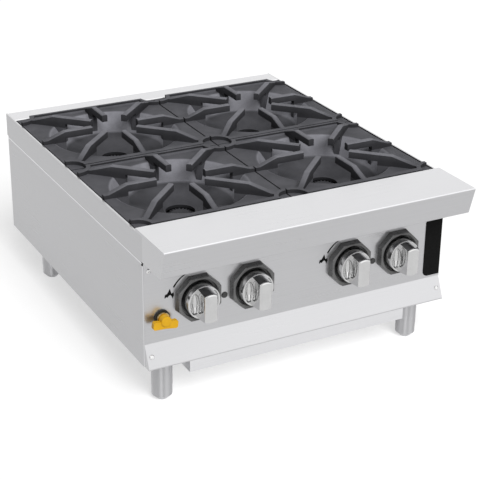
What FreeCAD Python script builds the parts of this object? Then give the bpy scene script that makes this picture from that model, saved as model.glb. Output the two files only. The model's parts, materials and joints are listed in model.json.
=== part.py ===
import FreeCAD, Part
import math
import os

from FreeCAD import Vector

# Countertop gas stove with four burners under cast-iron grates.
# Millimetres. +X is to the cook's right, +Y is towards the back, +Z is up.
# The origin is on the ground, in the middle of the stove's overall width and depth.

# Body
body_width = 610.0
body_depth = 674.0          # face of the control panel to the back of the stove
body_height = 246.0         # underside of the body to the rim round the grates
ground_clearance = 88.0     # ground to the underside of the body
panel_sheet = 1.2           # side, rear, control and kick panels
rail_sheet = 1.5            # ledge and top rails
frame_sheet = 2.0           # base frame and burner supports
bend_radius = 1.0           # inside radius of every fold
panel_return = 12.0         # flange folded inwards along the edge of a panel
corner_relief = 4.0         # notch at each end of the flanges that meet at the side seam
touch = 0.2                 # gap left where a loose piece rests on its seat

# Ledge, rails and front panels
ledge_overhang = 86.0       # front edge of the ledge ahead of the control panel
ledge_inset = 27.5          # back edge of the ledge behind the control panel
ledge_rise = 6.0            # top of the ledge above the rim
lip_height = 53.0
lip_setback = 15.0          # the lip slopes back by this much
rail_height = 50.0          # upper band of each side
rail_lap = 25.0             # the rear panel runs up behind its skirt by this much
seat_width = 18.0           # flange that a grate rests on
rear_rail_depth = 46.5
kick_height = 43.0
kick_outset = 18.0          # bottom of the kick plate ahead of the control panel

# Grates
grate_gap = 3.0             # between grates, and between a grate and the rim
casting = 6.0               # wall of the plate and of the bowl
plate_recess = 1.0          # top of the plate below the rim
bowl_margin = 21.75         # mouth of the bowl in from the nearest edge of the plate
bowl_wall_run = 26.0        # the wall of the bowl comes in by this much down to its floor
bowl_foot_depth = 35.0
bowl_hole_radius = 27.0
bowl_hole_depth = 54.0
bowl_bend = 4.0
hole_bead_width = 4.0
hole_bead_height = 3.0
finger_width = 11.0
finger_chamfer = 1.6
finger_rise = 21.0          # top of the fingers above the plate
finger_bar = 14.0           # height of a finger where it reaches over the bowl
finger_tip_radius = 48.0
finger_web_inset = 23.0     # the web under a finger starts this far inside the mouth
straight_knee_inset = 21.0  # a straight finger slopes down from this far inside the mouth
diagonal_knee_outset = 4.0  # a diagonal finger slopes down from this far outside the mouth
rib_height = 7.0            # ribs along the front and rear edges
front_rib_width = 11.0
rear_rib_width = 6.0
rib_slope = 5.0             # foot of a rib, sloping down to the plate
corner_ring_radius = 34.0   # raised quarter ring round each corner
corner_ring_width = 8.0
finger_foot = 4.0           # a finger's outer end stops this far from the edge of its slope

# Base frame, tray and legs
base_flange = 66.0          # width of the side rails that the legs stand under
base_web = 30.0             # height of the base rails
base_cross_setback = 30.0   # cross rails in from the front and the back
tray_side_gap = 15.8        # wall of the tray in from the base rail
tray_rear_gap = 41.0        # end of the tray in from the back of the stove
tray_depth = 24.0
tray_lip = 9.0
tray_drop = 3.0             # lip of the tray below the body
tray_front_outset = 7.0     # front of the tray ahead of the control panel
leg_radius = 19.0
leg_wall = 1.5
leg_cap = 4.0
leg_inset = 47.0            # leg axis in from the side of the body
leg_front_setback = 33.0
leg_rear_setback = 96.0
foot_height = 28.0
foot_chamfer = 9.0
foot_reveal = 0.4           # the foot is this much slimmer than its leg
foot_stem_radius = 8.0
foot_stem_length = 44.0
foot_nut = 12.0             # threaded insert in the end of the leg
stem_clearance = 0.3

# Controls
knob_drop = 132.0           # knob axis below the rim
outer_knob_share = 0.356    # outer knob from the middle of its grates, as a share of half their pitch
knob_pitch = 104.0          # between the two knobs of a pair
bezel_flats = 84.0          # across flats at the control panel
bezel_front_flats = 80.0
bezel_depth = 12.0
bezel_floor = 3.0
bezel_chamfer = 1.0
bezel_recess_radius = 36.0
knob_radius = 33.0
knob_draft = 6.5            # degrees
knob_standoff = 5.0         # back of the knob ahead of the control panel
knob_base = 22.0
knob_height = 50.0
knob_grip_width = 24.0
knob_grip_inset = 0.6       # ends of the grip inside the slope of the base
knob_pocket_depth = 9.5     # finger pockets on both sides of the grip
knob_pocket_width = 17.5
knob_pocket_length = 40.0
knob_pocket_bite = 3.0      # a pocket goes into the side of the grip by this much
knob_rim_round = 1.2
knob_round = 3.5
spindle_radius = 4.0
spindle_clearance = 0.05
spindle_grip = 30.0         # length of spindle inside the knob
spindle_depth = 24.0        # length of spindle inside the valve
plug_radius = 6.0
plug_drop = 9.0             # plug axis below the knob axis
plug_head = 2.0
badge_width = 36.0
badge_drop = 38.0           # top of the bare plate below the lip
badge_rise = 5.0            # foot of the bare plate above the kick plate
badge_corner = 10.0
badge_top_corner = 4.0
badge_thickness = 1.0
badge_margin = 1.0
screw_head_radius = 4.5
screw_head_height = 2.0
screw_margin = 9.0          # panel screws in from the edges of their panel

# Gas train
manifold_radius = 10.7
manifold_setback = 45.0     # manifold axis behind the control panel
supply_radius = 13.35       # three-quarter inch pipe
inlet_thread_radius = 13.0
inlet_stub = 22.0           # supply pipe standing out of the rear panel
shutoff_inset = 33.5        # shut-off valve in from the side of the body
shutoff_drop = 156.0        # shut-off valve and manifold axis below the rim
shutoff_body_radius = 14.5
shutoff_body_length = 34.0
shutoff_neck_radius = 11.5
shutoff_neck_reach = 9.0    # neck ahead of the control panel
grommet_radius = 14.0
grommet_bore = 12.0
grommet_thickness = 3.0
handle_span = 46.0
handle_height = 15.0
handle_waist = 12.5
handle_thickness = 8.0
handle_drop = 7.0           # middle of the wings below the axis of the hub
handle_turn = 6.0           # degrees clockwise from level
handle_hub_radius = 9.5
handle_hub_length = 12.0
handle_hub_round = 2.0
handle_round = 4.0
valve_radius = 12.0
valve_length = 40.0
valve_collar_radius = 11.0
valve_collar = 12.0
valve_hole_radius = 8.0     # hole in the control panel for a spindle
valve_inlet_radius = 7.0
orifice_radius = 8.0
orifice_length = 14.0
orifice_gap = 8.0           # air gap between the orifice and the burner's mouth
pilot_block = 14.0
pilot_tube_radius = 3.0
pilot_tip_radius = 5.0
pilot_tip_length = 8.0
pilot_tip_drop = 1.0        # tip of the pilot below the seat of the cap
pilot_offset = 30.0         # pilot in front of the burner's axis
pilot_rise = 13.0           # pilot tube below the burner's mixing tube

# Burners
burner_head_radius = 23.0
burner_head_height = 16.0
burner_head_bore = 17.0
burner_cone = 10.0          # head narrows to the tube over this height
burner_tube_radius = 13.0
burner_tube_bend = 22.0
burner_mouth_radius = 18.0
burner_mouth_length = 16.0
burner_foot_radius = 9.0
burner_support_width = 30.0
burner_support_gap = 6.0    # tubes clear the supports by this much
burner_support_inset = 50.0
cap_radius = 22.0
cap_height = 11.0
cap_dome = 1.5
cap_cavity_radius = 15.0
cap_cavity = 4.0
cap_notches = 18
cap_notch_width = 3.6
cap_notch_depth = 5.5
cap_clearance = 6.0         # seat of the cap below the bowl

# Centre cross rail
cross_rail_width = 30.0
cross_rail_web = 22.0

# Places that follow from the sizes
half_width = body_width / 2
overall_depth = ledge_overhang + body_depth + inlet_stub
y_front = -overall_depth / 2
y_panel = y_front + ledge_overhang
y_back = y_panel + body_depth
y_rear_panel = y_back - rail_sheet
y_field_front = y_panel + ledge_inset
y_field_back = y_back - rear_rail_depth
z_base = ground_clearance
z_rim = z_base + body_height
z_seam = z_rim - rail_height
z_ledge = z_rim + ledge_rise
z_lip = z_ledge - lip_height
z_kick = z_base + kick_height
y_kick = y_panel + panel_sheet
z_plate = z_rim - plate_recess
z_seat = z_plate - casting
z_knob = z_rim - knob_drop
z_gas = z_rim - shutoff_drop
z_cap_seat = z_plate - bowl_hole_depth - casting - cap_clearance
x_side = half_width - rail_sheet
x_hem = half_width - 2 * rail_sheet
x_seat = x_hem - seat_width
x_panel_inside = half_width - panel_sheet
x_return = half_width - panel_return
x_shutoff = -half_width + shutoff_inset
y_gas = y_panel + manifold_setback
tray_half = x_panel_inside - base_flange - tray_side_gap
y_tray_front = y_panel - tray_front_outset
y_tray_back = y_back - tray_rear_gap
grate_width = (2 * x_hem - 3 * grate_gap) / 2
grate_depth = (y_field_back - y_field_front - 3 * grate_gap) / 2
bowl_mouth_radius = min(grate_width, grate_depth) / 2 - bowl_margin
bowl_foot_radius = bowl_mouth_radius - bowl_wall_run
finger_web_radius = bowl_mouth_radius - finger_web_inset
straight_knee_radius = bowl_mouth_radius - straight_knee_inset
diagonal_knee_radius = bowl_mouth_radius + diagonal_knee_outset
column_x = (grate_width + grate_gap) / 2
row_y = {
    "front": y_field_front + grate_gap + grate_depth / 2,
    "rear": y_field_back - grate_gap - grate_depth / 2,
}
column_side = {"left": -1, "right": 1}
# The outer knob of each pair serves the front burner, the inner one the rear burner.
outer_shift = outer_knob_share * column_x
knob_shift = {"front": outer_shift, "rear": outer_shift - knob_pitch}
plug_x = column_x + outer_shift - knob_pitch / 2
knob_rim_radius = knob_radius - knob_base * math.tan(math.radians(knob_draft))
knob_front_radius = knob_radius - knob_height * math.tan(math.radians(knob_draft))
z_tube = z_knob
y_valve_back = y_panel + panel_sheet + valve_collar + valve_length
y_burner_mouth = y_valve_back + orifice_length + orifice_gap
z_support = z_tube - burner_tube_radius - burner_support_gap

X = Vector(1, 0, 0)
Y = Vector(0, 1, 0)
Z = Vector(0, 0, 1)


# Shape helpers
def box(x0, x1, y0, y1, z0, z1):
    return Part.makeBox(x1 - x0, y1 - y0, z1 - z0, Vector(x0, y0, z0))


def rod(start, direction, radius, length):
    return Part.makeCylinder(radius, length, start, direction)


def prism(points, direction):
    """Solid swept from a closed polygon of 3-D points along a vector."""
    wire = Part.makePolygon(list(points) + [points[0]])
    return Part.Face(wire).extrude(direction)


def prism_x(outline, x0, x1):
    return prism([Vector(x0, y, z) for y, z in outline], X * (x1 - x0))


def prism_y(outline, y0, y1):
    return prism([Vector(x, y0, z) for x, z in outline], Y * (y1 - y0))


def turned(outline, base):
    """Solid of revolution about the vertical axis through base; outline is (radius, height)."""
    points = [base + Vector(r, 0, z) for r, z in outline]
    return Part.Face(Part.makePolygon(points + [points[0]])).revolve(base, Z, 360)


def fused(solids):
    return solids[0].multiFuse(solids[1:]).removeSplitter()


def folded_face(path, thickness, place, bend=bend_radius):
    """Section of a folded sheet. The path is one face of the sheet, which lies to its left."""
    points = [Vector(u, v, 0) for u, v in path]
    near = [points[0]]
    far = []
    first = (points[1] - points[0]).normalize()
    far.append(points[0] + Vector(-first.y, first.x, 0) * thickness)
    near_edges = []
    far_edges = []
    for before, corner, after in zip(points, points[1:], points[2:]):
        into = (corner - before).normalize()
        out = (after - corner).normalize()
        left = Vector(-into.y, into.x, 0)
        turn = math.atan2(into.x * out.y - into.y * out.x, into.dot(out))
        side = 1 if turn > 0 else -1
        near_radius = bend + thickness if turn > 0 else bend
        far_radius = near_radius - side * thickness
        reach = near_radius * math.tan(abs(turn) / 2)
        centre = corner - into * reach + left * (side * near_radius)
        middle = (corner - centre).normalize()
        for line, edges, radius in ((near, near_edges, near_radius), (far, far_edges, far_radius)):
            start = centre - left * (side * radius)
            end = centre - Vector(-out.y, out.x, 0) * (side * radius)
            edges.append(Part.LineSegment(place(line[-1]), place(start)).toShape())
            edges.append(Part.Arc(place(start), place(centre + middle * radius), place(end)).toShape())
            line.append(end)
    last = (points[-1] - points[-2]).normalize()
    ends = (points[-1], points[-1] + Vector(-last.y, last.x, 0) * thickness)
    near_edges.append(Part.LineSegment(place(near[-1]), place(ends[0])).toShape())
    far_edges.append(Part.LineSegment(place(far[-1]), place(ends[1])).toShape())
    caps = [
        Part.LineSegment(place(near[0]), place(far[0])).toShape(),
        Part.LineSegment(place(ends[0]), place(ends[1])).toShape(),
    ]
    wire = Part.Wire(Part.__sortEdges__(near_edges + far_edges + caps))
    return Part.Face(wire)


def folded_x(path, thickness, x0, x1):
    """Folded sheet with a (y, z) section, running along X."""
    face = folded_face(path, thickness, lambda p: Vector(x0, p.x, p.y))
    return face.extrude(X * (x1 - x0))


def folded_y(path, thickness, y0, y1):
    """Folded sheet with an (x, z) section, running along Y."""
    face = folded_face(path, thickness, lambda p: Vector(p.x, y0, p.y))
    return face.extrude(Y * (y1 - y0))


def folded_z(path, thickness, z0, z1):
    """Folded sheet with an (x, y) section, running along Z."""
    face = folded_face(path, thickness, lambda p: Vector(p.x, p.y, z0))
    return face.extrude(Z * (z1 - z0))


def mirrored_x(shape):
    return shape.mirror(Vector(0, 0, 0), X)


def save(name, shape):
    """Write one node: a solid, or a group of separate solids."""
    solids = shape.Solids
    for solid in solids:
        if not solid.isValid():
            print("invalid solid in", name)
    whole = solids[0] if len(solids) == 1 else Part.makeCompound(solids)
    whole.exportStep("parts/%s.step" % name)


# Body panels
def side_panel():
    """Right-hand side panel with flanges folded inwards at the front, the back and the top."""
    front = y_panel + panel_sheet
    back = y_rear_panel - panel_sheet
    shoulder = z_seam - corner_relief
    path = [(x_return, front), (half_width, front), (half_width, back), (x_return, back)]
    wall = folded_z(path, panel_sheet, z_base, shoulder)
    edge = [(half_width, shoulder), (half_width, z_seam), (x_return, z_seam)]
    return fused([wall, folded_y(edge, panel_sheet, front + corner_relief, back - corner_relief)])


def top_rail():
    """Right-hand band, hemmed at the rim, with a flange at the seam and a seat for the grates."""
    shoulder = z_seam + corner_relief
    hem = [
        (half_width, shoulder), (half_width, z_rim), (x_hem, z_rim), (x_hem, z_seat),
        (x_hem, z_seat - rail_sheet), (x_side, z_seat - rail_sheet), (x_side, shoulder),
    ]
    band = prism_y(hem, y_panel, y_back)
    edge = [(x_return, z_seam), (half_width, z_seam), (half_width, shoulder)]
    flange = folded_y(edge, rail_sheet, y_panel + corner_relief, y_rear_panel - corner_relief)
    seat = box(x_seat, x_hem, y_field_front, y_field_back, z_seat - rail_sheet, z_seat)
    return fused([band, flange, seat])


def rear_panel():
    panel = box(-x_side, x_side, y_rear_panel - panel_sheet, y_rear_panel, z_base, z_seam + rail_lap)
    hole = rod(Vector(x_shutoff, y_back, z_gas), Y * -1, supply_radius + stem_clearance, panel_return)
    return panel.cut(hole)


def rear_top_rail():
    """Flat strip behind the grates, with a seat in front and a skirt over the rear panel."""
    path = [
        (y_back, z_seam), (y_back, z_rim), (y_field_back, z_rim),
        (y_field_back, z_seat), (y_field_back - seat_width, z_seat),
    ]
    rail = folded_x(path, rail_sheet, -x_hem, x_hem)
    return rail.cut(seat_ends(y_field_back - seat_width, y_field_back))


def seat_ends(y0, y1):
    """Ends of a cross seat, cut away where the side rails have their own seats."""
    end = box(x_seat, half_width + 1, y0 - 1, y1, z_seat - 2 * rail_sheet, z_seat + rail_sheet)
    return Part.makeCompound([end, mirrored_x(end)])


def front_ledge():
    """Ledge with a sloping lip, closed ends, and the seat for the front grates."""
    lip_turn = math.pi / 2 + math.atan2(lip_setback, lip_height)
    nose = (bend_radius + rail_sheet) * (math.tan(lip_turn / 2) - 1)
    y_top = y_front - nose
    y_low = y_top + lip_setback
    path = [
        (y_field_front + seat_width, z_seat), (y_field_front, z_seat), (y_field_front, z_ledge),
        (y_top, z_ledge), (y_low, z_lip), (y_low + panel_return, z_lip),
    ]
    ledge = folded_x(path, rail_sheet, -half_width, half_width)
    inner = rail_sheet / 2
    cap = [
        (y_top + rail_sheet, z_ledge - inner), (y_low + inner, z_lip + inner), (y_low + rail_sheet, z_lip),
        (y_panel, z_lip), (y_panel, z_rim), (y_field_front - inner, z_rim),
        (y_field_front - inner, z_ledge - inner),
    ]
    end = prism_x(cap, half_width - rail_sheet, half_width)
    side_gap = box(x_hem, half_width + 1, y_panel, y_field_front + 1, z_lip - 1, z_rim)
    seat_gap = seat_ends(y_field_front, y_field_front + seat_width + 1)
    ledge = ledge.cut([side_gap, mirrored_x(side_gap), seat_gap])
    return fused([ledge, end, mirrored_x(end)])


def flange_ends():
    """Room at the ends of a front panel's flanges for the flanges of the side panels."""
    ends = box(x_return - 1, half_width, y_panel + panel_sheet, y_panel + 2 * panel_return, z_base, z_rim)
    return [ends, mirrored_x(ends)]


def control_panel():
    top = z_ledge - rail_sheet
    back = y_panel + panel_return
    path = [(back, top), (y_panel, top), (y_panel, z_kick + panel_sheet / 2)]
    panel = folded_x(path, panel_sheet, -x_side, x_side).cut(flange_ends())
    band_room = box(x_hem - 1, half_width, y_panel, back, z_seam, top + 1)
    panel = panel.cut([band_room, mirrored_x(band_room)])
    holes = [rod(Vector(x, y_panel - 1, z_knob), Y, valve_hole_radius, panel_return) for x in knob_places()]
    for side in column_side.values():
        plug_place = Vector(side * plug_x, y_panel - 1, z_knob - plug_drop)
        holes.append(rod(plug_place, Y, plug_radius / 2, panel_return))
    holes.append(rod(Vector(x_shutoff, y_panel - 1, z_gas), Y, grommet_bore, panel_return))
    return panel.cut(holes)


def kick_plate():
    """Plate that hangs behind the foot of the control panel and slopes out, with closed ends."""
    foot = y_panel - kick_outset
    path = [
        (y_kick, z_kick + panel_return), (y_kick, z_kick),
        (foot, z_base), (foot + panel_return, z_base),
    ]
    plate = folded_x(path, panel_sheet, -x_side, x_side).cut(flange_ends())
    inner = panel_sheet / 2
    end = prism_x([(y_kick, z_kick - panel_sheet), (foot + inner, z_base + inner), (y_kick, z_base)],
                  x_side - panel_sheet, x_side)
    return fused([plate, end, mirrored_x(end)])


def base_frame():
    """Two side rails and two cross rails, welded into one frame."""
    front = y_panel + 2 * panel_sheet + bend_radius
    back = y_rear_panel - 2 * panel_sheet - bend_radius
    outer = x_panel_inside
    rails = []
    for side in (1, -1):
        flat = box(outer - base_flange, outer, front, back, z_base, z_base + frame_sheet)
        web = box(outer - frame_sheet, outer, front, back, z_base, z_base + base_web)
        rails += [flat, web] if side > 0 else [mirrored_x(flat), mirrored_x(web)]
    reach = outer - frame_sheet
    low = z_base + frame_sheet
    for start, step in ((front + base_cross_setback, 1), (back - base_cross_setback, -1)):
        ends = sorted((start, start + step * base_web))
        rails.append(box(-reach, reach, ends[0], ends[1], low, low + frame_sheet))
        wall = sorted((start, start + step * frame_sheet))
        rails.append(box(-reach, reach, wall[0], wall[1], low, z_base + base_web))
    return fused(rails)


def center_cross_rail():
    """Channel across the middle, under the meeting edges of the front and rear grates."""
    middle = (y_field_front + y_field_back) / 2
    half = cross_rail_width / 2
    path = [
        (middle + half, z_seat - cross_rail_web), (middle + half, z_seat),
        (middle - half, z_seat), (middle - half, z_seat - cross_rail_web),
    ]
    return folded_x(path, rail_sheet, -x_seat, x_seat)


# Grates
def grate_finger(knee, root, end):
    """One finger along +X from the grate's centre: a bar over the bowl on a web."""
    bar_foot = finger_rise - finger_bar
    wall_slope = (bowl_mouth_radius - bowl_foot_radius) / bowl_foot_depth
    sunk = casting / 2
    web_depth = bowl_foot_depth - sunk
    outline = [
        (finger_tip_radius, bar_foot), (finger_tip_radius, finger_rise), (knee, finger_rise),
        (root, rib_height), (end, rib_height), (end, -sunk), (bowl_mouth_radius + sunk, -sunk),
        (bowl_mouth_radius + sunk - (web_depth - sunk) * wall_slope, -web_depth),
        (finger_web_radius, -web_depth), (finger_web_radius, bar_foot),
    ]
    points = [Vector(r, -finger_width / 2, z) for r, z in outline]
    bar = prism(points, Y * finger_width)
    crest = []
    for edge in bar.Edges:
        a, b = (vertex.Point for vertex in edge.Vertexes)
        lengthwise = abs(a.x - b.x) > finger_chamfer and abs(a.y - b.y) < finger_chamfer
        if lengthwise and max(a.z, b.z) > finger_rise - finger_chamfer:
            crest.append(edge)
    return bar.makeChamfer(finger_chamfer, crest)


def grate():
    """Cast plate with a bowl, eight fingers, ribs at front and rear, and corner rings."""
    half_x = grate_width / 2
    half_y = grate_depth / 2
    flange_radius = bowl_mouth_radius + 2 * casting
    plate = box(-half_x, half_x, -half_y, half_y, -casting, 0)
    plate = plate.cut(rod(Vector(0, 0, -2 * casting), Z, flange_radius - 1, 3 * casting))
    path = [
        (flange_radius, 0), (bowl_mouth_radius, 0),
        (bowl_foot_radius, -bowl_foot_depth), (bowl_hole_radius, -bowl_hole_depth),
    ]
    section = folded_face(path, casting, lambda p: Vector(p.x, 0, p.y), bowl_bend)
    bowl = section.revolve(Vector(0, 0, 0), Z, 360)
    bead_foot = -bowl_hole_depth - casting / 2
    bead = turned([
        (bowl_hole_radius, bead_foot), (bowl_hole_radius + 2 * hole_bead_width, bead_foot),
        (bowl_hole_radius + hole_bead_width, hole_bead_height - bowl_hole_depth),
        (bowl_hole_radius, hole_bead_height - bowl_hole_depth),
    ], Vector(0, 0, 0))
    solids = [plate, bowl, bead]

    root = half_x - finger_foot
    across = grate_finger(straight_knee_radius, root, half_x)
    along = grate_finger(straight_knee_radius, half_y - finger_foot, half_y - rear_rib_width / 2)
    ring_reach = math.hypot(half_x, half_y) - corner_ring_radius
    diagonal = grate_finger(diagonal_knee_radius, ring_reach, ring_reach + corner_ring_width / 2)
    corner_angle = math.degrees(math.atan2(half_y, half_x))
    for finger, angle in (
        (across, 0), (across, 180), (along, 90), (along, 270),
        (diagonal, corner_angle), (diagonal, 180 - corner_angle),
        (diagonal, 180 + corner_angle), (diagonal, -corner_angle),
    ):
        solids.append(finger.rotated(Vector(0, 0, 0), Z, angle))

    rib_reach = half_x - corner_ring_radius + corner_ring_width / 2
    sunk = -casting / 2
    front_rib = [
        (-half_y, sunk), (-half_y, rib_height), (front_rib_width - half_y, rib_height),
        (front_rib_width + rib_slope - half_y, sunk),
    ]
    rear_rib = [
        (half_y, sunk), (half_y, rib_height), (half_y - rear_rib_width, rib_height),
        (half_y - rear_rib_width, rib_height / 2), (half_y - rear_rib_width - rib_slope, sunk),
    ]
    solids.append(prism_x(front_rib, -rib_reach, rib_reach))
    solids.append(prism_x(rear_rib, -rib_reach, rib_reach))
    footprint = box(-half_x, half_x, -half_y, half_y, sunk, rib_height)
    for x in (-half_x, half_x):
        for y in (-half_y, half_y):
            outer = rod(Vector(x, y, sunk), Z, corner_ring_radius, rib_height - sunk)
            inner = rod(Vector(x, y, sunk), Z, corner_ring_radius - corner_ring_width, rib_height - sunk)
            solids.append(outer.cut(inner).common(footprint))
    return fused(solids)


# Burners and caps
def burner_cap():
    """Toothed cap, with its axis on the origin and its seat at height 0."""
    cap = turned([
        (0, cap_cavity), (cap_cavity_radius, cap_cavity), (cap_cavity_radius, 0), (cap_radius, 0),
        (cap_radius, cap_height - cap_dome), (cap_radius - cap_dome, cap_height), (0, cap_height),
    ], Vector(0, 0, 0))
    notch = box(cap_radius - cap_notch_depth, cap_radius + 1, -cap_notch_width / 2, cap_notch_width / 2,
                -1, cap_height + 1)
    notches = [notch.rotated(Vector(0, 0, 0), Z, 360 * i / cap_notches) for i in range(cap_notches)]
    return cap.cut(notches)


def burner(column, row):
    """Cast head on a tube that turns aside and then runs forward to the orifice."""
    axis = Vector(column_side[column] * column_x, row_y[row], 0)
    aside = column_side[column] * knob_shift[row]
    step = 1 if aside > 0 else -1
    neck_top = z_cap_seat - burner_head_height - burner_cone
    bend = burner_tube_bend
    slant = bend * (1 - math.sqrt(0.5))
    centre = axis + Z * z_tube
    mouth = Vector(axis.x + aside, y_burner_mouth, z_tube)
    down_end = centre + Z * bend
    cross_start = centre + X * (step * bend)
    cross_end = centre + X * (aside - step * bend)
    run_start = centre + X * aside - Y * bend
    path = [
        Part.LineSegment(axis + Z * neck_top, down_end),
        Part.Arc(down_end, centre + X * (step * slant) + Z * slant, cross_start),
        Part.LineSegment(cross_start, cross_end),
        Part.Arc(cross_end, centre + X * (aside - step * slant) - Y * slant, run_start),
        Part.LineSegment(run_start, mouth),
    ]
    wire = Part.Wire([piece.toShape() for piece in path])
    ring = Part.Wire([Part.Circle(axis + Z * neck_top, Z, burner_tube_radius).toShape()])
    tube = wire.makePipeShell([ring], True, False)
    seat = Vector(axis.x, axis.y, z_cap_seat)
    head = turned([
        (0, -burner_head_height - burner_cone), (burner_tube_radius, -burner_head_height - burner_cone),
        (burner_head_radius, -burner_head_height), (burner_head_radius, 0), (burner_head_bore, 0),
        (burner_head_bore, casting - burner_head_height), (0, casting - burner_head_height),
    ], seat)
    flare = Part.makeCone(burner_mouth_radius, burner_tube_radius, burner_mouth_length, mouth, Y)
    bore = rod(mouth, Y, burner_tube_radius - casting / 2, burner_mouth_length)
    foot_place = Vector(axis.x + aside / 2, axis.y, z_support)
    foot = rod(foot_place, Z, burner_foot_radius, z_tube - z_support)
    return fused([tube, head, flare, foot]).cut(bore)


def burner_support(row):
    """Bridge over the drip tray that two burners stand on."""
    reach = half_width - burner_support_inset
    low = z_base + frame_sheet
    path = [(-reach, low), (-reach, z_support), (reach, z_support), (reach, low)]
    half = burner_support_width / 2
    return folded_y(path[::-1], frame_sheet, row_y[row] - half, row_y[row] + half)


# Gas train
def knob_places():
    return [column_side[c] * (column_x + knob_shift[r]) for c in column_side for r in row_y]


def knob_x(column, row):
    return column_side[column] * (column_x + knob_shift[row])


def manifold_pipe():
    start = Vector(x_shutoff + shutoff_body_radius, y_gas, z_gas)
    far_end = column_x + knob_shift["front"] + 2 * valve_radius
    return rod(start, X, manifold_radius, far_end - start.x)


def supply_pipe():
    start = Vector(x_shutoff, y_gas + shutoff_body_length / 2 + panel_return, z_gas)
    pipe = rod(start, Y, supply_radius, y_back - start.y)
    return fused([pipe, rod(Vector(x_shutoff, y_back, z_gas), Y, inlet_thread_radius, inlet_stub)])


def valve_body(column, row):
    x = knob_x(column, row)
    front = y_panel + panel_sheet
    collar = rod(Vector(x, front, z_knob), Y, valve_collar_radius, valve_collar)
    barrel = rod(Vector(x, front + valve_collar, z_knob), Y, valve_radius, valve_length)
    orifice = rod(Vector(x, y_valve_back, z_knob), Y, orifice_radius, orifice_length)
    inlet = rod(Vector(x, y_gas, z_gas), Z, valve_inlet_radius, z_knob - z_gas)
    body = fused([collar, barrel, orifice, inlet])
    bore = rod(Vector(x, front, z_knob), Y, spindle_radius + spindle_clearance, spindle_depth + panel_sheet)
    return body.cut([manifold_pipe(), bore])


def valve_stem(column, row):
    tip = y_panel - knob_standoff - spindle_grip
    end = y_panel + panel_sheet + spindle_depth
    stem = rod(Vector(knob_x(column, row), tip, z_knob), Y, spindle_radius, end - tip)
    flat_depth = spindle_radius / 2
    x = knob_x(column, row)
    flat = box(x - spindle_radius, x + spindle_radius, tip, tip + spindle_grip,
               z_knob + flat_depth, z_knob + spindle_radius)
    return stem.cut(flat)


def shutoff_valve_body():
    """Brass angle valve: inlet at the back, outlet to the manifold, neck through the panel."""
    y0 = y_gas - shutoff_body_length / 2
    y1 = y_gas + shutoff_body_length / 2
    barrel = rod(Vector(x_shutoff, y0, z_gas), Y, shutoff_body_radius, shutoff_body_length)
    outlet = rod(Vector(x_shutoff, y_gas, z_gas), X, manifold_radius, shutoff_body_radius)
    inlet = rod(Vector(x_shutoff, y1, z_gas), Y, shutoff_body_radius, panel_return)
    front = y_panel - shutoff_neck_reach
    neck = rod(Vector(x_shutoff, front, z_gas), Y, shutoff_neck_radius, y0 - front)
    bore = rod(Vector(x_shutoff, front, z_gas), Y, spindle_radius + spindle_clearance, y0 - front)
    return fused([barrel, outlet, inlet, neck]).cut(bore)


def shutoff_stem():
    start = y_panel - shutoff_neck_reach - handle_hub_length / 2
    end = y_gas - shutoff_body_length / 2
    return rod(Vector(x_shutoff, start, z_gas), Y, spindle_radius, end - start - touch)


def shutoff_handle():
    """Butterfly handle: a hub with two wings that widen outwards, set below its axis."""
    axis = Vector(x_shutoff, y_panel - shutoff_neck_reach - touch, z_gas)
    forward = Y * -1
    span = handle_span / 2
    outline = [
        (-span, handle_height / 2), (0, handle_waist / 2), (span, handle_height / 2),
        (span, -handle_height / 2), (0, -handle_waist / 2), (-span, -handle_height / 2),
    ]
    middle = axis + forward * ((handle_hub_length - handle_thickness) / 2) - Z * handle_drop
    wings = prism([middle + Vector(u, 0, v) for u, v in outline], forward * handle_thickness)
    tips = []
    for edge in wings.Edges:
        lengthwise = edge.tangentAt(0).cross(Y).Length < 0.1
        if lengthwise and abs(edge.CenterOfMass.x - x_shutoff) > span - handle_round:
            tips.append(edge)
    wings = wings.makeFillet(handle_round, tips)
    hub = rod(axis, forward, handle_hub_radius, handle_hub_length)
    front_edge = [e for e in hub.Edges if abs(e.BoundBox.YMax - axis.y + handle_hub_length) < 0.01]
    hub = hub.makeFillet(handle_hub_round, front_edge)
    bore = rod(axis, forward, spindle_radius + spindle_clearance, handle_hub_length / 2)
    return fused([wings, hub]).cut(bore).rotated(axis, Y, handle_turn)


def shutoff_grommet():
    front = Vector(x_shutoff, y_panel - grommet_thickness, z_gas)
    ring = rod(front, Y, grommet_radius, grommet_thickness)
    return ring.cut(rod(front, Y, shutoff_neck_radius + touch, grommet_thickness))


def pilot_line(column):
    """Pilot valve on the manifold, with a tube that rises beside each burner of the column."""
    x = column_side[column] * column_x
    half = pilot_block / 2
    z_line = z_tube - pilot_rise
    block = box(x - half, x + half, y_gas - half, y_gas + half, z_gas, z_line + half)
    line_end = row_y["rear"] - pilot_offset
    line = rod(Vector(x, y_gas, z_line), Y, pilot_tube_radius, line_end - y_gas + pilot_tube_radius)
    solids = [block, line]
    tip_top = z_cap_seat - pilot_tip_drop
    for y in row_y.values():
        foot = Vector(x, y - pilot_offset, z_line)
        solids.append(rod(foot, Z, pilot_tube_radius, tip_top - z_line))
        tip = Vector(foot.x, foot.y, tip_top - pilot_tip_length)
        solids.append(rod(tip, Z, pilot_tip_radius, pilot_tip_length))
    return fused(solids).cut(manifold_pipe())


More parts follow.
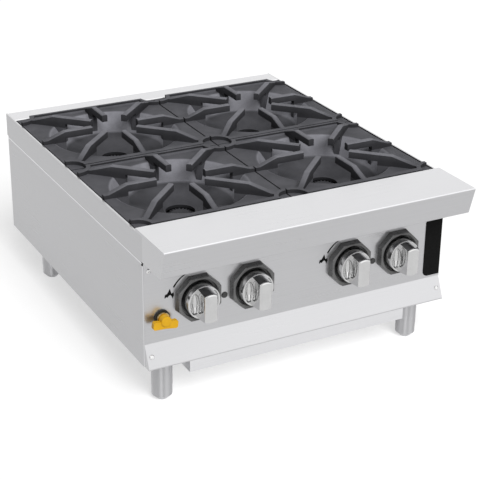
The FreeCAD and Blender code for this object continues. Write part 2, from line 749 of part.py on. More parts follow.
# Knobs and panel trim
def knob_bezel(column, row):
    """Drafted octagon with a round recess for the knob."""
    x = knob_x(column, row)
    front = y_panel - bezel_depth
    rings = []
    for y, flats in ((y_panel, bezel_flats), (front, bezel_front_flats)):
        corner = flats / 2 / math.cos(math.pi / 8)
        angles = [math.pi / 8 + i * math.pi / 4 for i in range(8)]
        points = [Vector(x + corner * math.cos(a), y, z_knob + corner * math.sin(a)) for a in angles]
        rings.append(Part.makePolygon(points + [points[0]]))
    cup = Part.makeLoft(rings, True, True)
    rim = [edge for edge in cup.Edges if abs(edge.BoundBox.YMax - front) < 0.01]
    cup = cup.makeChamfer(bezel_chamfer, rim)
    recess = rod(Vector(x, front, z_knob), Y, bezel_recess_radius, bezel_depth - bezel_floor)
    hole = rod(Vector(x, front, z_knob), Y, valve_hole_radius, bezel_depth)
    mouth = Part.makeCone(bezel_recess_radius + bezel_chamfer, bezel_recess_radius, bezel_chamfer,
                          Vector(x, front, z_knob), Y)
    return cup.cut([recess, hole, mouth])


def knob(column, row):
    """Die-cast knob: a drafted base with an upright grip between two finger pockets."""
    back = Vector(knob_x(column, row), y_panel - knob_standoff, z_knob)
    forward = Y * -1
    base = Part.makeCone(knob_radius, knob_rim_radius, knob_base, back, forward)
    front_edge = [e for e in base.Edges if abs(e.BoundBox.YMax - back.y + knob_base) < 0.01]
    base = base.makeFillet(knob_rim_round, front_edge)
    barrel = Part.makeCone(knob_radius - knob_grip_inset, knob_front_radius - knob_grip_inset,
                           knob_height, back, forward)
    half = knob_grip_width / 2
    slab = box(back.x - half, back.x + half, back.y - 3 * knob_height, back.y,
               z_knob - 2 * knob_radius, z_knob + 2 * knob_radius)
    grip = barrel.common(slab)
    edges = [e for e in grip.Edges if abs(e.BoundBox.YMax - back.y + knob_height) < 0.01]
    grip = grip.makeFillet(knob_round, edges)
    stretch = FreeCAD.Matrix()
    stretch.scale(Vector(knob_pocket_width / 2, knob_pocket_depth, knob_pocket_length / 2))
    pocket = Part.makeSphere(1.0).transformGeometry(stretch)
    reach = half - knob_pocket_bite + knob_pocket_width / 2
    pockets = [pocket.translated(back + forward * knob_base + X * (side * reach)) for side in (-1, 1)]
    bore = rod(back, forward, spindle_radius + spindle_clearance, spindle_grip)
    return fused([base, grip]).cut(pockets + [bore])


def badge_plate():
    """Bare dark plate at the right of the control panel, with its left corners rounded."""
    x1 = x_side - badge_margin
    x0 = x1 - badge_width
    z1 = z_lip - badge_drop
    z0 = z_kick + badge_rise
    plate = box(x0, x1, y_panel - badge_thickness, y_panel, z0, z1)
    left = [edge for edge in plate.Edges if edge.BoundBox.XMax < x0 + 0.01]
    low = [edge for edge in left if edge.BoundBox.ZMax < z0 + 0.01]
    plate = plate.makeFillet(badge_corner, low)
    left = [edge for edge in plate.Edges if edge.BoundBox.XMax < x0 + 0.01]
    high = [edge for edge in left if edge.BoundBox.ZMin > z1 - 0.01]
    return plate.makeFillet(badge_top_corner, high)


def pilot_plugs():
    """Plugs over the holes that reach the pilot adjusting screws."""
    plugs = []
    for side in column_side.values():
        face = Vector(side * plug_x, y_panel, z_knob - plug_drop)
        head = Part.makeCone(plug_radius, plug_radius - plug_head / 2, plug_head, face, Y * -1)
        shank = rod(face, Y, plug_radius / 2 - touch / 2, 2 * panel_sheet)
        plugs.append(fused([head, shank]))
    return Part.makeCompound(plugs)


def panel_screws():
    """Screw heads on the control panel, the kick plate and the rear panel."""
    x = x_side - screw_margin
    slope = math.atan2(kick_outset + panel_sheet, kick_height)
    kick_middle = Vector(0, (y_kick + y_panel - kick_outset) / 2, (z_kick + z_base) / 2)
    kick_normal = Vector(0, -math.cos(slope), math.sin(slope))
    panel_row = Vector(0, y_panel, z_lip - 2 * screw_margin)
    rear_low = Vector(0, y_rear_panel, z_base + 2 * screw_margin)
    rear_high = Vector(0, y_rear_panel, z_seam - 2 * screw_margin)
    heads = []
    for place, normal in ((kick_middle, kick_normal), (rear_low, Y), (rear_high, Y)):
        heads += [screw_head(place + X * (side * x), normal) for side in (-1, 1)]
    heads.append(screw_head(panel_row - X * x, Y * -1))
    return Part.makeCompound(heads)


def screw_head(place, normal):
    return Part.makeCone(screw_head_radius, screw_head_radius * 0.7, screw_head_height, place, normal)


# Tray, legs and feet
def drip_tray():
    """Shallow pan with lips that ride on the runners."""
    top = z_base - tray_drop
    low = top - tray_depth
    inside = tray_half - panel_sheet
    front = y_tray_front
    back = y_tray_back
    pan = box(-tray_half, tray_half, front, back, low, top)
    room = box(-inside, inside, front + panel_sheet, back - panel_sheet, low + panel_sheet, top)
    lip = box(inside, tray_half + tray_lip, front + panel_return, back, top - panel_sheet, top)
    return fused([pan.cut(room), lip, mirrored_x(lip)])


def tray_runner():
    """Right-hand runner: an angle on the edge of the base rail, under the lip of the tray."""
    outer = x_panel_inside - base_flange
    inner = tray_half + touch * 5
    lip_foot = z_base - tray_drop - panel_sheet - touch
    y0 = y_panel + 2 * panel_sheet + bend_radius
    wall = box(outer - panel_sheet, outer, y0, y_tray_back, lip_foot - panel_sheet, z_base + frame_sheet)
    shelf = box(inner, outer, y0, y_tray_back, lip_foot - panel_sheet, lip_foot)
    return fused([wall, shelf])


def leg(x, y):
    """Tube under the base frame, with a threaded insert at its foot."""
    bore = foot_stem_radius + stem_clearance
    inner = leg_radius - leg_wall
    top = z_base - foot_height
    return turned([
        (bore, 0), (leg_radius, 0), (leg_radius, top), (0, top),
        (0, top - leg_cap), (inner, top - leg_cap), (inner, foot_nut), (bore, foot_nut),
    ], Vector(x, y, foot_height))


def foot(x, y):
    """Bullet foot with the stem that screws into the leg."""
    radius = leg_radius - foot_reveal
    return turned([
        (0, 0), (radius - foot_chamfer, 0), (radius, foot_chamfer), (radius, foot_height),
        (foot_stem_radius, foot_height), (foot_stem_radius, foot_height + foot_stem_length),
        (0, foot_height + foot_stem_length),
    ], Vector(x, y, 0))


def main():
    os.makedirs("parts", exist_ok=True)
    save("right_side_panel", side_panel())
    save("left_side_panel", mirrored_x(side_panel()))
    save("right_top_rail", top_rail())
    save("left_top_rail", mirrored_x(top_rail()))
    save("rear_panel", rear_panel())
    save("rear_top_rail", rear_top_rail())
    save("front_ledge", front_ledge())
    save("control_panel", control_panel())
    save("kick_plate", kick_plate())
    save("base_frame", base_frame())
    save("center_cross_rail", center_cross_rail())
    save("burner_supports", Part.makeCompound([burner_support(row) for row in row_y]))
    save("gas_manifold", manifold_pipe())
    save("gas_supply_pipe", supply_pipe())
    save("pilot_lines", Part.makeCompound([pilot_line(column) for column in column_side]))
    save("pilot_plugs", pilot_plugs())
    save("panel_screws", panel_screws())
    save("badge_plate", badge_plate())
    save("shutoff_valve_body", shutoff_valve_body())
    save("shutoff_stem", shutoff_stem())
    save("shutoff_handle", shutoff_handle())
    save("shutoff_grommet", shutoff_grommet())
    save("drip_tray", drip_tray())
    save("tray_runners", Part.makeCompound([tray_runner(), mirrored_x(tray_runner())]))

    casting_shape = grate()
    cap = burner_cap()
    leg_y = {"front": y_panel + leg_front_setback, "rear": y_back - leg_rear_setback}
    for column, side in column_side.items():
        for row in row_y:
            place = "%s_%s" % (row, column)
            centre = Vector(side * column_x, row_y[row], 0)
            save("grate_" + place, casting_shape.translated(centre + Z * z_plate))
            save("burner_cap_" + place, cap.translated(centre + Z * z_cap_seat))
            save("burner_" + place, burner(column, row))
            save("valve_body_" + place, valve_body(column, row))
            save("valve_stem_" + place, valve_stem(column, row))
            save("knob_bezel_" + place, knob_bezel(column, row))
            save("knob_" + place, knob(column, row))
            save("leg_" + place, leg(side * (half_width - leg_inset), leg_y[row]))
            save("foot_" + place, foot(side * (half_width - leg_inset), leg_y[row]))


main()
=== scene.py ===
import json
import math

import bmesh
import bpy
from mathutils import Matrix, Vector


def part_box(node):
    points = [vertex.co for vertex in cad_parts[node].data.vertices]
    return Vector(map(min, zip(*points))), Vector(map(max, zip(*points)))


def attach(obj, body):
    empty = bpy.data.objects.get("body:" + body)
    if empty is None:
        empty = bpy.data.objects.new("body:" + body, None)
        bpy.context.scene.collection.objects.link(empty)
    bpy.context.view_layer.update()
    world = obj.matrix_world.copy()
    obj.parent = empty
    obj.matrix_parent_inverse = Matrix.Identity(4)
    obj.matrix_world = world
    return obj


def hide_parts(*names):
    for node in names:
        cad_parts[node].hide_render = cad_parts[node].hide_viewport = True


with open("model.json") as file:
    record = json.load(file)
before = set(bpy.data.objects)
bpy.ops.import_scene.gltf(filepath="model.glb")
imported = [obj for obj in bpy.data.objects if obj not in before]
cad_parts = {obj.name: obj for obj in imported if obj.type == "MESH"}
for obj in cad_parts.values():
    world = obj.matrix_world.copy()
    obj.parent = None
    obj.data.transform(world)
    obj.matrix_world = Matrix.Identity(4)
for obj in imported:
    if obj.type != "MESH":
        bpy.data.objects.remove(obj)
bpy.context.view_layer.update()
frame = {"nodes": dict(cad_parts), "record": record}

MM = 0.001
WHITE = (1.0, 1.0, 1.0, 1.0)
slot_of = {piece["node"]: piece["material_slot"] for piece in frame["record"]["subparts"]}


class NodeTree:
    """The nodes of a material or a world, with short calls to add and link them."""

    def __init__(self, owner):
        owner.use_nodes = True
        self.tree = owner.node_tree

    def node(self, kind, **values):
        made = self.tree.nodes.new("ShaderNode" + kind)
        for key, value in values.items():
            setattr(made, key, value)
        return made

    def link(self, source, target):
        """Feed an output, or a plain number, to an input."""
        if isinstance(source, (int, float)):
            target.default_value = source
        else:
            self.tree.links.new(source, target)

    def math(self, operation, *terms):
        """A sum, product and so on of outputs or numbers."""
        made = self.node("Math", operation=operation)
        for term, socket in zip(terms, made.inputs):
            self.link(term, socket)
        return made.outputs[0]

    def axis(self, vector, letter):
        """One coordinate of a vector."""
        parts = self.node("SeparateXYZ")
        self.link(vector, parts.inputs["Vector"])
        return parts.outputs[letter]

    def span(self, value, limits, reach=(0.0, 1.0)):
        """A number that goes over its reach as the value goes from one limit to the other."""
        made = self.node("MapRange")
        for key, number in zip(("From Min", "From Max", "To Min", "To Max"), (*limits, *reach)):
            made.inputs[key].default_value = number
        self.link(value, made.inputs["Value"])
        return made.outputs["Result"]

    def graded(self, value, stops):
        """Colours that follow a value, given as pairs of the value and its colour."""
        ramp = self.node("ValToRGB")
        elements = ramp.color_ramp.elements
        for place, _ in stops[1:-1]:
            elements.new(place)
        for element, (place, colour) in zip(elements, stops):
            element.position = place
            element.color = (*colour, 1.0)
        self.link(value, ramp.inputs["Fac"])
        return ramp.outputs["Color"]


class Shader(NodeTree):
    """A material on the Principled shader."""

    def __init__(self, name):
        self.material = bpy.data.materials.new(name)
        super().__init__(self.material)
        self.bsdf = self.tree.nodes["Principled BSDF"]

    def set(self, **values):
        for key, value in values.items():
            self.bsdf.inputs[key.replace("_", " ")].default_value = value

    def feed(self, source, key):
        self.link(source, self.bsdf.inputs[key])

    def paint(self, colour):
        self.colour = colour
        self.feed(colour, "Base Color")

    def shade(self, factor):
        """Multiply the colour painted so far."""
        mix = self.node("MixRGB", blend_type="MULTIPLY", use_clamp=True)
        mix.inputs["Fac"].default_value = 1.0
        self.link(self.colour, mix.inputs["Color1"])
        self.link(factor, mix.inputs["Color2"])
        self.paint(mix.outputs["Color"])

    def bump(self, value, strength, distance):
        made = self.node("Bump")
        made.inputs["Strength"].default_value = strength
        made.inputs["Distance"].default_value = distance
        self.link(value, made.inputs["Height"])
        self.feed(made.outputs["Normal"], "Normal")

    def position(self):
        """The surface's place in the part's own frame."""
        return self.node("TexCoord").outputs["Object"]

    def facing(self, letter):
        """One coordinate of the surface's normal."""
        return self.axis(self.node("NewGeometry").outputs["Normal"], letter)

    def noise(self, scale, detail=4.0, roughness=0.55):
        """Noise in the part's own frame; scale gives its fineness along each axis."""
        mapping = self.node("Mapping")
        mapping.inputs["Scale"].default_value = scale
        self.link(self.position(), mapping.inputs["Vector"])
        made = self.node("TexNoise")
        for key, number in (("Scale", 1.0), ("Detail", detail), ("Roughness", roughness)):
            made.inputs[key].default_value = number
        self.link(mapping.outputs["Vector"], made.inputs["Vector"])
        return made.outputs["Fac"]


def grey(value, tint=0.0):
    return (value, value, value * (1 + tint))


def greys(stops):
    return [(place, grey(strength)) for place, strength in stops]


def between(ends, share):
    return ends[0] + (ends[1] - ends[0]) * share


# Finishes
# Noise lies mostly between these values, and colour and gloss follow it there.
NOISE = (0.3, 0.7)
FINE_RELIEF = 0.2 * MM
# Steel: how far its colour varies, the share of streaks in its pattern, the fineness of clouds and streaks.
STEEL_TINT = 0.02
STEEL_SPREAD = 0.03
STREAKS = 0.75
LARGE_CLOUDS = (6.0, 6.0, 6.0)
ALONG_X = (4.0, 700.0, 700.0)
ALONG_Y = (700.0, 4.0, 700.0)
ROUND_Z = (500.0, 500.0, 6.0)
# Strength of a colour, by a measure from 0 to 1.
# A flat strength of 1: neither wear nor painted light.
NO_WEAR_OR_PAINTED_LIGHT = ((0.0, 1.0), (1.0, 1.0))
# Painted highlight on bends, by how far a surface faces upwards; of the sheets, only bends lie in the
# middle.
BEND_HIGHLIGHTS = ((0.0, 1.0), (0.45, 1.0), (0.6, 1.35), (0.9, 1.35), (0.985, 1.0), (1.0, 1.0))
# Painted highlight on upright corners, by how far a surface faces between front and side.
CORNER_HIGHLIGHTS = ((0.0, 1.0), (0.6, 1.0), (0.8, 1.35), (1.0, 1.35))
# By share of a grate's height: painted shade darkens the bowl's floor and bottom and painted light brightens
# its walls, while the plate is sooted and the finger tops are worn bare.
GRATE_HEIGHTS = tuple(corner[2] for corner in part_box("grate_front_left"))
SOOT_WEAR_AND_PAINTED_LIGHT = (
    (0.0, 0.0), (0.07, 0.3), (0.29, 0.34), (0.32, 0.94), (0.725, 0.94), (0.738, 0.4), (0.84, 0.43),
    (0.91, 0.56), (0.98, 0.66), (1.0, 0.8),
)
# Iron: how far its colour varies, the share of grain in its pattern, the fineness of grain and patches.
IRON_TINT = 0.1
IRON_SPREAD = 0.25
GRAIN = 0.35
FINE_GRAIN = (520.0, 520.0, 520.0)
PATCHES = (26.0, 26.0, 26.0)
GRAIN_RELIEF = 0.5 * MM
IRON_ROUGHNESS = (0.58, 0.78)
# Upright to well upwards, as the height of the normal, and the strength of the iron's colour there: painted
# shade on upright faces, as light from above leaves them.
UPRIGHT_TO_UP = (0.1, 0.55)
UPRIGHT_PAINTED_SHADE = (0.36, 1.0)


def surface(name, pattern_of, dark, light, rough, spread, bump=0.0, **values):
    """Material whose colour, gloss and relief all follow one pattern."""
    shader = Shader(name)
    pattern = pattern_of(shader)
    shader.paint(shader.graded(pattern, tuple(zip(NOISE, (dark, light)))))
    shader.feed(shader.span(pattern, NOISE, (rough - spread, rough + spread)), "Roughness")
    if bump:
        shader.bump(pattern, bump, FINE_RELIEF)
    shader.set(**values)
    return shader


def clouds(scale):
    return lambda shader: shader.noise((scale, scale, scale))


def metal(name, scale, dark, light, rough, spread):
    return surface(name, clouds(scale), dark, light, rough, spread, Metallic=1.0)


def coating(name, scale, dark, light, rough, spread, bump=0.0, shine=0.5):
    """Paint, plastic or rubber; shine is the strength of its reflections."""
    return surface(name, clouds(scale), dark, light, rough, spread, bump, Specular_IOR_Level=shine)


def brushed_steel(name, level, rough, grain, corner_highlights=NO_WEAR_OR_PAINTED_LIGHT):
    """Sheet steel: fine streaks along the grain, over faint large clouds, with a painted highlight on bends
    that face half upwards and, if asked, on upright corners.
    """
    def pattern(shader):
        streaks = shader.math("MULTIPLY", shader.noise(grain, detail=5.0, roughness=0.6), STREAKS)
        large = shader.math("MULTIPLY", shader.noise(LARGE_CLOUDS, detail=2.0), 1 - STREAKS)
        return shader.math("ADD", streaks, large)
    dark = grey(level * (1 - STEEL_SPREAD), STEEL_TINT)
    light = grey(level * (1 + STEEL_SPREAD), STEEL_TINT)
    shader = surface(name, pattern, dark, light, rough, spread=0.04, bump=0.02, Metallic=1.0)
    # Painted highlight on bends that face half upwards.
    shader.shade(shader.graded(shader.facing("Z"), greys(BEND_HIGHLIGHTS)))
    # Painted highlight on upright corners between front and side.
    product = shader.math("MULTIPLY", shader.facing("X"), shader.facing("Y"))
    corner_highlight_mask = shader.math("MULTIPLY", shader.math("ABSOLUTE", product), 2.0)
    shader.shade(shader.graded(corner_highlight_mask, greys(corner_highlights)))
    return shader


def turned_steel(name, level, rough):
    """Tube polished round its axis, which draws reflections out along it."""
    shader = brushed_steel(name, level, rough, ROUND_Z)
    around = shader.node("Tangent", direction_type="RADIAL", axis="Z")
    shader.feed(around.outputs["Tangent"], "Tangent")
    shader.set(Anisotropic=0.95, Anisotropic_Rotation=0.25)
    return shader


def cast_iron(name, level, wear_and_painted_light):
    """Sand-cast iron: a fine grain with patches; by height, sooted, worn bare and with painted light and
    shade; painted shade on upright faces.
    """
    shader = Shader(name)
    grain = shader.noise(FINE_GRAIN, detail=5.0, roughness=0.65)
    fine = shader.math("MULTIPLY", grain, GRAIN)
    large = shader.math("MULTIPLY", shader.noise(PATCHES, roughness=0.6), 1 - GRAIN)
    dark = grey(level * (1 - IRON_SPREAD), IRON_TINT)
    light = grey(level * (1 + IRON_SPREAD), IRON_TINT)
    shader.paint(shader.graded(shader.math("ADD", fine, large), tuple(zip(NOISE, (dark, light)))))
    height = shader.span(shader.axis(shader.position(), "Z"), GRATE_HEIGHTS)
    # By height: painted light and shade in the bowl, soot on the plate, wear on the finger tops.
    shader.shade(shader.graded(height, greys(wear_and_painted_light)))
    # Painted shade on upright faces.
    shader.shade(shader.span(shader.facing("Z"), UPRIGHT_TO_UP, UPRIGHT_PAINTED_SHADE))
    shader.feed(shader.span(grain, NOISE, IRON_ROUGHNESS), "Roughness")
    shader.bump(grain, strength=0.3, distance=GRAIN_RELIEF)
    shader.set(Specular_IOR_Level=0.1)
    return shader


YELLOW = ((0.6, 0.32, 0.006), (0.65, 0.36, 0.012))
BRASS = ((0.6, 0.45, 0.19), (0.7, 0.55, 0.27))
ZINC = (grey(0.42, 0.03), grey(0.56, 0.03))
# Sheet steel has a level of grey, a roughness and a grain, and iron a level of grey. The others have
# a fineness, a darkest and a lightest colour, a roughness and its spread.
finishes = {
    "stainless": brushed_steel("stainless along X", 0.62, 0.3, ALONG_X, CORNER_HIGHLIGHTS),
    # Side sheets: the same steel made darker, a painted shade.
    "stainless_side": brushed_steel("stainless along Y painted shade", 0.56, 0.3, ALONG_Y, CORNER_HIGHLIGHTS),
    # Tray: the same steel made lighter, a painted light.
    "stainless_tray": brushed_steel("stainless tray painted light", 0.86, 0.34, ALONG_X),
    "stainless_leg": turned_steel("stainless turned", 0.64, 0.42),
    "cast_iron": cast_iron("cast iron", 0.2, SOOT_WEAR_AND_PAINTED_LIGHT),
    "burner_iron": cast_iron("burner iron", 0.08, NO_WEAR_OR_PAINTED_LIGHT),
    "bezel_grey": coating("bezel grey", 300.0, grey(0.075), grey(0.095), 0.3, 0.05, bump=0.05, shine=0.9),
    "knob_chrome": metal("knob chrome", 60.0, grey(0.66), grey(0.72), 0.1, 0.02),
    "valve_brass": metal("valve brass", 80.0, *BRASS, 0.22, 0.04),
    "spindle_steel": metal("spindle steel", 90.0, grey(0.48), grey(0.56), 0.3, 0.05),
    "handle_yellow": coating("handle yellow", 70.0, *YELLOW, 0.34, 0.05, shine=0.3),
    "black_rubber": coating("black rubber", 260.0, grey(0.012), grey(0.02), 0.6, 0.08, bump=0.1),
    "badge_black": coating("badge black", 200.0, grey(0.004), grey(0.007), 0.5, 0.05, shine=0.06),
    "plug_black": coating("plug black", 240.0, grey(0.03), grey(0.045), 0.5, 0.06),
    "galvanised_steel": metal("galvanised steel", 40.0, *ZINC, 0.42, 0.06),
    "pipe_steel": coating("pipe black", 90.0, grey(0.03), grey(0.05), 0.5, 0.06, bump=0.05),
    "pilot_aluminium": metal("pilot aluminium", 90.0, grey(0.6), grey(0.7), 0.35, 0.05),
    "screw_steel": metal("screw steel", 120.0, grey(0.78), grey(0.86), 0.12, 0.03),
    "panel_print": coating("panel print", 400.0, grey(0.004), grey(0.008), 0.45, 0.05, shine=0.06),
}
materials = {finish: shader.material for finish, shader in finishes.items()}


def finish_of(name):
    """The finish of a CAD node: its slot's, or a variant with the grain that its sheet has; the side sheets'
    variant is darker, a painted shade, and the tray's lighter, a painted light.
    """
    if name.startswith(("leg_", "foot_")):
        return "stainless_leg"
    if name == "drip_tray":
        return "stainless_tray"
    if name in ("left_side_panel", "right_side_panel", "left_top_rail", "right_top_rail"):
        return "stainless_side"
    return slot_of[name]


# Rounding of the sharp edges of a finish, in millimetres.
EDGE_WIDTH = {
    "burner_iron": 0.6,
    "knob_chrome": 0.4,
    "bezel_grey": 0.4,
    "handle_yellow": 0.6,
}
SHARP_ANGLE = math.radians(38)


def soften_edges(node, width):
    """Round a node's sharp edges a little, so that they catch the light."""
    bevel = node.modifiers.new("edges", "BEVEL")
    bevel.width = width * MM
    bevel.segments = 2
    bevel.limit_method = "ANGLE"
    bevel.angle_limit = SHARP_ANGLE
    bevel.harden_normals = True


for name, node in frame["nodes"].items():
    finish = finish_of(name)
    node.data.materials.clear()
    node.data.materials.append(materials[finish])
    if finish in EDGE_WIDTH:
        soften_edges(node, EDGE_WIDTH[finish])


# Details that only the visual model has
def add_object(name, data):
    made = bpy.data.objects.new(name, data)
    bpy.context.collection.objects.link(made)
    return made


def add_piece(name, mesh, finish, body):
    """A visual piece that moves with a body and belongs to a material slot of the record."""
    piece = add_object(name, mesh)
    mesh.materials.append(materials[finish])
    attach(piece, body)
    return piece


def mesh_of(name, build):
    """Mesh made by a function that fills a bmesh."""
    shape = bmesh.new()
    build(shape)
    bmesh.ops.recalc_face_normals(shape, faces=shape.faces)
    mesh = bpy.data.meshes.new(name)
    shape.to_mesh(mesh)
    shape.free()
    return mesh


def stitch(shape, first, second):
    """Band of faces between two closed rings of vertices."""
    for i, vertex in enumerate(first):
        j = (i + 1) % len(first)
        shape.faces.new((vertex, first[j], second[j], second[i]))


# Printed marks, in millimetres and degrees round the middle of a bezel.
MARKED_KNOBS = ("front_left", "rear_right")
FLAME_PLACE = (-53.0, 15.0)
FLAME_OUTLINE = (
    (1.0, 11.0), (2.6, 6.0), (4.0, 1.2), (8.0, 3.0), (8.6, -2.5), (6.0, -8.6), (4.2, -4.0), (1.4, -0.8),
    (-1.6, -2.6), (-3.6, -5.0), (-5.8, -3.4), (-8.4, -5.8), (-9.0, -3.0), (-8.0, 1.2), (-4.2, 2.2),
    (-1.4, 6.4),
)
SWEEP_RADIUS = 52.5
SWEEP_WIDTHS = (3.2, 1.8)
SWEEP_ANGLES = (149.0, 112.0)
SWEEP_STEPS = 24
PRINT = 0.15 * MM
panel_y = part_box("control_panel")[0][1]


def flame_mark():
    """Outline of a small flame with two side tongues."""
    aside, rise = FLAME_PLACE
    return [(aside + u, rise + v) for u, v in FLAME_OUTLINE]


def sweep_mark():
    """Outline of an arc round the knob that tapers from wide to narrow."""
    outer = []
    inner = []
    for i in range(SWEEP_STEPS + 1):
        share = i / SWEEP_STEPS
        angle = math.radians(between(SWEEP_ANGLES, share))
        half = between(SWEEP_WIDTHS, share) / 2
        for line, reach in ((outer, SWEEP_RADIUS + half), (inner, SWEEP_RADIUS - half)):
            line.append((reach * math.cos(angle), reach * math.sin(angle)))
    return outer + inner[::-1]


def panel_mark(name, place, outline):
    """A printed mark beside the bezel of one knob, standing out by the thickness of the print."""
    low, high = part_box("knob_bezel_" + place)
    x = (low[0] + high[0]) / 2
    z = (low[2] + high[2]) / 2

    def build(shape):
        front = [shape.verts.new((x + u * MM, panel_y - PRINT, z + v * MM)) for u, v in outline]
        back = [shape.verts.new((x + u * MM, panel_y, z + v * MM)) for u, v in outline]
        shape.faces.new(front)
        stitch(shape, front, back)
    add_piece(name + place, mesh_of(name + place, build), "panel_print", "chassis")


# Screw heads: radius and height up the dome, then the cross recess, in millimetres.
SCREW_DOME = ((4.5, 0.0), (4.5, 0.5), (4.2, 1.1), (3.6, 1.6), (2.9, 1.9), (2.4, 2.0))
SCREW_SIDES = 32
CROSS_REACH = 1.9
CROSS_HALF = 0.45
CROSS_DEPTH = 1.3
CROSS_TAPER = 0.7
SCREW_MARGIN = 9.0 * MM


def loop_edges(shape, ring):
    return [shape.edges.get((ring[i - 1], ring[i])) for i in range(len(ring))]


def screw_head(shape, place, normal):
    """Domed head with a cross recess, standing on a surface."""
    turn = normal.to_track_quat("Z", "Y").to_matrix()
    angles = [2 * math.pi * i / SCREW_SIDES for i in range(SCREW_SIDES)]
    quarter = ((CROSS_REACH, -CROSS_HALF), (CROSS_REACH, CROSS_HALF), (CROSS_HALF, CROSS_HALF))
    cross = [Matrix.Rotation(math.pi / 2 * i, 2) @ Vector(corner) for i in range(4) for corner in quarter]

    def ring(points, height):
        return [shape.verts.new(place + turn @ Vector((u, v, height)) * MM) for u, v in points]

    dome = []
    for radius, height in SCREW_DOME:
        dome.append(ring([(radius * math.cos(a), radius * math.sin(a)) for a in angles], height))
    for lower, upper in zip(dome, dome[1:]):
        stitch(shape, lower, upper)
    top = SCREW_DOME[-1][1]
    mouth = ring(cross, top)
    foot = ring([corner * CROSS_TAPER for corner in cross], top - CROSS_DEPTH)
    stitch(shape, mouth, foot)
    shape.faces.new(foot)
    edges = loop_edges(shape, dome[-1]) + loop_edges(shape, mouth)
    bmesh.ops.triangle_fill(shape, use_beauty=True, edges=edges)


def screw_places():
    """Where the screws of the control panel, the kick plate and the rear panel stand, and their normals."""
    kick_low, kick_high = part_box("kick_plate")
    rear_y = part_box("rear_panel")[1][1]
    x = kick_high[0] - SCREW_MARGIN
    # The top of the kick plate hangs behind the control panel, so two sheets lie between these faces.
    sheet = (kick_high[1] - panel_y) / 2
    kick_top = Vector((0, panel_y + sheet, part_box("control_panel")[0][2] - sheet / 2))
    kick_foot = Vector((0, *kick_low[1:]))
    slope = math.atan2(kick_top.y - kick_foot.y, kick_top.z - kick_foot.z)
    kick_out = Vector((0, -math.cos(slope), math.sin(slope)))
    rear_foot = Vector((0, rear_y, kick_low[2] + 2 * SCREW_MARGIN))
    rear_top = Vector((0, rear_y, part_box("left_top_rail")[0][2] - 2 * SCREW_MARGIN))
    panel = Vector((-x, panel_y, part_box("front_ledge")[0][2] - 2 * SCREW_MARGIN))
    backward = Vector((0, 1, 0))
    places = [(panel, -backward)]
    pairs = (((kick_top + kick_foot) / 2, kick_out), (rear_foot, backward), (rear_top, backward))
    for place, normal in pairs:
        places += [(place + Vector((side * x, 0, 0)), normal) for side in (-1, 1)]
    return places


def screws():
    def build(shape):
        for place, normal in screw_places():
            screw_head(shape, place, normal)
    mesh = mesh_of("screw_heads", build)
    mesh.shade_smooth()
    mesh.set_sharp_from_angle(angle=SHARP_ANGLE)
    heads = add_piece("screw_heads", mesh, "screw_steel", "chassis")
    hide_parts("panel_screws")


# Pipe thread on the gas inlet, in millimetres; half the ridge's width at its root and crest in pitches.
THREAD_PITCH = 1.814
THREAD_ROOT = 12.96
THREAD_CREST = 13.33
THREAD_START = 3.0
THREAD_END = 1.5
THREAD_STEPS = 40
ROOT_HALF = 0.4
CREST_HALF = 0.05


def inlet_thread():
    """Helical ridge round the end of the gas inlet, running out to nothing at both ends."""
    low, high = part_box("gas_supply_pipe")
    axis = Vector(((low[0] + high[0]) / 2, 0, (low[2] + high[2]) / 2))
    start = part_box("rear_top_rail")[1][1] + THREAD_START * MM
    length = high[1] - start - THREAD_END * MM
    steps = int(length / (THREAD_PITCH * MM) * THREAD_STEPS)

    def row(shape, i):
        turns = i / THREAD_STEPS
        out = Vector((math.cos(2 * math.pi * turns), 0, math.sin(2 * math.pi * turns)))
        run_out = min(1.0, turns, (steps - i) / THREAD_STEPS)
        crest = between((THREAD_ROOT, THREAD_CREST), run_out)
        radii = (THREAD_ROOT, crest, crest, THREAD_ROOT)
        vertices = []
        for radius, aside in zip(radii, (-ROOT_HALF, -CREST_HALF, CREST_HALF, ROOT_HALF)):
            along = Vector((0, start + THREAD_PITCH * MM * (turns + aside), 0))
            vertices.append(shape.verts.new(axis + out * (radius * MM) + along))
        return vertices

    def build(shape):
        rows = [row(shape, i) for i in range(steps + 1)]
        for first, second in zip(rows, rows[1:]):
            for i in range(len(first) - 1):
                shape.faces.new((first[i], first[i + 1], second[i + 1], second[i]))
    add_piece("inlet_thread", mesh_of("inlet_thread", build), "pipe_steel", "chassis")


for place in MARKED_KNOBS:
    panel_mark("flame_mark_", place, flame_mark())
    panel_mark("sweep_mark_", place, sweep_mark())
screws()
inlet_thread()


# Studio
FLOOR_HALF = 14.0
FLOOR_SHADE = 0.5
FLOOR_SEEN = 0.56
FLOOR_MIRRORED = 0.34
SKY_SEEN = 1.0
SKY_LIGHT = 0.25
# Brightness of the sky in reflections, by share of a turn from the left, through the front, round again.
SKY_MIRRORED = (
    (0.0, 0.35), (0.11, 0.4), (0.14, 1.6), (0.19, 1.6), (0.22, 0.4), (0.26, 0.4), (0.29, 1.32), (0.38, 1.32),
    (0.44, 0.35), (0.56, 0.35), (0.6, 1.19), (0.83, 1.19), (0.9, 0.35), (1.0, 0.35),
)
# Brightness high up there, and the rise of the direction where it begins and is full.
SKY_OVERHEAD = 1.3
OVERHEAD_RISE = (0.6, 0.8)
# Key light: where it comes from, its level and its width in degrees. Level 1 shows a colour that faces it
# as it is written.
KEY_FROM = Vector((-0.05, -0.74, 0.67))
KEY_LEVEL = 1.1
KEY_WIDTH = 35.0
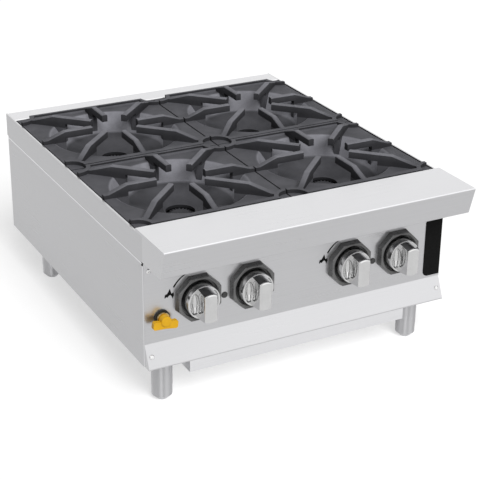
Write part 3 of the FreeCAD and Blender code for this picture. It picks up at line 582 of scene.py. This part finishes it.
# Camera, fitted to the stove's edges in the photograph, in the part's own frame.
CAMERA_PLACE = Vector((-1.1212, -2.1731, 1.2656))
CAMERA_RIGHT = Vector((0.8843, -0.4670, 0.0109))
CAMERA_UP = Vector((0.1864, 0.3742, 0.9085))
CAMERA_BACK = Vector((-0.4283, -0.8012, 0.4179))
FOCAL_PIXELS = 1365.3
IMAGE_PIXELS = 480
SENSOR_MM = 36.0
SIGHT_END = 50.0


def studio_floor():
    """Pale floor that takes the shadow and shows as white elsewhere."""
    def build(shape):
        bmesh.ops.create_grid(shape, x_segments=1, y_segments=1, size=FLOOR_HALF)
    floor = add_object("studio_floor", mesh_of("studio_floor", build))
    shader = Shader("pale floor")
    shader.set(Base_Color=(*grey(FLOOR_SHADE), 1.0), Roughness=0.9, Specular_IOR_Level=0.0)
    shader.set(Emission_Color=WHITE)
    path = shader.node("LightPath").outputs
    seen = shader.math("MULTIPLY", path["Is Camera Ray"], FLOOR_SEEN)
    mirror = shader.math("MAXIMUM", path["Is Glossy Ray"], path["Is Transmission Ray"])
    mirrored = shader.math("MULTIPLY", mirror, FLOOR_MIRRORED)
    shader.feed(shader.math("ADD", seen, mirrored), "Emission Strength")
    floor.data.materials.append(shader.material)


def studio_world():
    """Even sky for the camera and for light; in reflections, softboxes round about and overhead."""
    world = bpy.data.worlds.new("studio")
    bpy.context.scene.world = world
    sky = NodeTree(world)
    direction = sky.node("TexCoord").outputs["Generated"]
    turn = sky.node("TexGradient", gradient_type="RADIAL")
    sky.link(direction, turn.inputs["Vector"])
    mirrored = sky.node("MixRGB")
    sky.link(sky.span(sky.axis(direction, "Z"), OVERHEAD_RISE), mirrored.inputs["Fac"])
    sky.link(sky.graded(turn.outputs["Fac"], greys(SKY_MIRRORED)), mirrored.inputs["Color1"])
    mirrored.inputs["Color2"].default_value = (*grey(SKY_OVERHEAD), 1.0)
    strengths = {
        "Is Camera Ray": SKY_SEEN,
        "Is Glossy Ray": mirrored.outputs["Color"],
        "Is Transmission Ray": SKY_SEEN,
        "Is Diffuse Ray": SKY_LIGHT,
    }
    path = sky.node("LightPath").outputs
    level = 0.0
    for ray, strength in strengths.items():
        level = sky.math("ADD", level, sky.math("MULTIPLY", path[ray], strength))
    background = sky.tree.nodes["Background"].inputs
    background["Color"].default_value = WHITE
    sky.link(level, background["Strength"])


def key_light():
    """A large soft light, left out of reflections, which have the softboxes."""
    light = bpy.data.lights.new("key", "SUN")
    light.energy = KEY_LEVEL * math.pi
    light.angle = math.radians(KEY_WIDTH)
    lamp = add_object("key", light)
    lamp.matrix_world = KEY_FROM.to_track_quat("Z", "Y").to_matrix().to_4x4()
    lamp.visible_glossy = False


def photo_camera():
    data = bpy.data.cameras.new("photo camera")
    data.sensor_width = SENSOR_MM
    data.lens = FOCAL_PIXELS / IMAGE_PIXELS * SENSOR_MM
    data.clip_end = SIGHT_END
    eye = add_object("photo camera", data)
    turn = Matrix((CAMERA_RIGHT, CAMERA_UP, CAMERA_BACK)).transposed()
    eye.matrix_world = Matrix.Translation(CAMERA_PLACE) @ turn.to_4x4()
    bpy.context.scene.camera = eye


studio_floor()
studio_world()
key_light()
photo_camera()
bpy.context.scene.view_settings.view_transform = "Standard"
